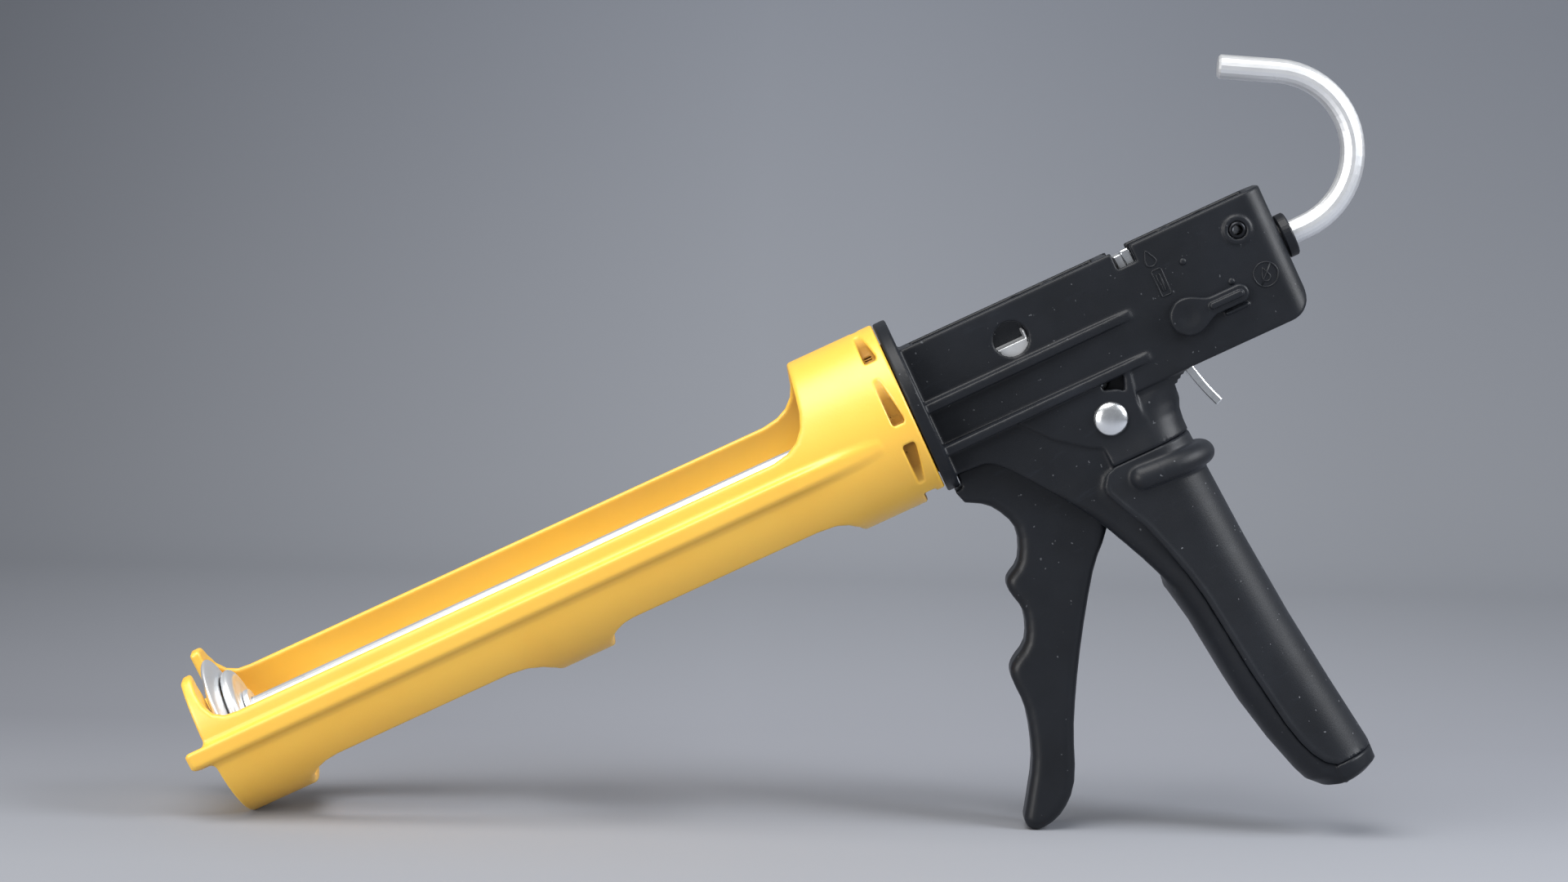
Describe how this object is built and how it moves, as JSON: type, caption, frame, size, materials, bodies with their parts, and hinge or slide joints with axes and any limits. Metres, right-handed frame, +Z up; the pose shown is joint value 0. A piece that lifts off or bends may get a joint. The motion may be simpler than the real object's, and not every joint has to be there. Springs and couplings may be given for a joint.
{
  "type": "caulking gun",
  "caption": "Drip-free caulking gun with a swivelling half-open cartridge cradle, composite frame, hooked push rod, sprung trigger, thumb release and a selector lever.",
  "frame": {"origin": "on the floor under the middle of the whole gun's box, as it stands on the cradle's front foot and the trigger's tip", "axes": "+Z up, +X towards the hook along the floor, -Y the side with the selector lever; the rod leans up towards +X"},
  "size_m": [0.3906, 0.0652, 0.2539],
  "materials": {
    "yellow_plastic": "moulded, satin",
    "black_composite": "glass-filled composite, fine moulded texture",
    "soft_grip": "soft overmoulded rubber",
    "trigger_plastic": "moulded, slightly polished by use",
    "zinc_steel": "bright zinc plating",
    "rod_steel": "plated round bar, fine drawn grain",
    "spring_steel": "oiled spring steel"
  },
  "bodies": {
    "frame": {"frame": "black_composite", "grip_sleeve": "soft_grip", "rear_bushing": "black_composite", "front_bushing": "black_composite", "trigger_pin": "zinc_steel", "trigger_pin_clip": "zinc_steel", "rear_pin": "spring_steel", "cutter_blade": "zinc_steel", "drive_spring": "spring_steel", "brake_spring": "spring_steel"},
    "cradle": {"cradle": "yellow_plastic"},
    "piston": {"piston_front_cup": "zinc_steel", "piston_rear_cup": "zinc_steel", "piston_spacer": "spring_steel", "piston_washer": "zinc_steel"},
    "rod": {"push_rod": "rod_steel", "piston_nut": "zinc_steel"},
    "trigger": {"trigger": "trigger_plastic", "trigger_roller": "zinc_steel"},
    "drive": {"drive_plate_front": "zinc_steel", "drive_plate_rear": "zinc_steel"},
    "brake": {"brake_plate": "zinc_steel", "catch_plate": "zinc_steel"},
    "selector": {"selector_lever": "black_composite", "selector_shaft": "zinc_steel", "selector_clip": "zinc_steel"}
  },
  "joints": [
    {"name": "cradle_spin", "type": "hinge", "parent": "frame", "child": "cradle", "pos_m": [0.04319, 0, 0.13798], "axis": [0.8978, 0, 0.4403], "continuous": true},
    {"name": "rod_slide", "type": "slide", "parent": "frame", "child": "piston", "axis": [0.8978, 0, 0.4403], "range_m": [0, 0.215]},
    {"name": "rod_spin", "type": "hinge", "parent": "piston", "child": "rod", "pos_m": [0.04319, 0, 0.13798], "axis": [0.8978, 0, 0.4403], "continuous": true},
    {"name": "trigger_squeeze", "type": "hinge", "parent": "frame", "child": "trigger", "pos_m": [0.10529, 0, 0.13558], "axis": [0, -1, 0], "range_deg": [0, 22], "stiffness_Nm_per_rad": 0.8, "springref_deg": -11.46},
    {"name": "drive_push", "type": "slide", "parent": "frame", "child": "drive", "axis": [-0.8978, 0, -0.4403], "range_m": [0, 0.0075], "deforming": ["drive_spring"]},
    {"name": "thumb_release", "type": "hinge", "parent": "frame", "child": "brake", "pos_m": [0.10857, 0, 0.18954], "axis": [0, 1, 0], "range_deg": [0, 6], "stiffness_Nm_per_rad": 0.4, "springref_deg": -8.59},
    {"name": "selector_turn", "type": "hinge", "parent": "frame", "child": "selector", "pos_m": [0.12923, 0, 0.16921], "axis": [0, -1, 0], "range_deg": [0, 90]}
  ],
  "couplings": [
    {"joint": "drive_push", "follows": "trigger_squeeze", "m_per_rad": 0.01885}
  ]
}
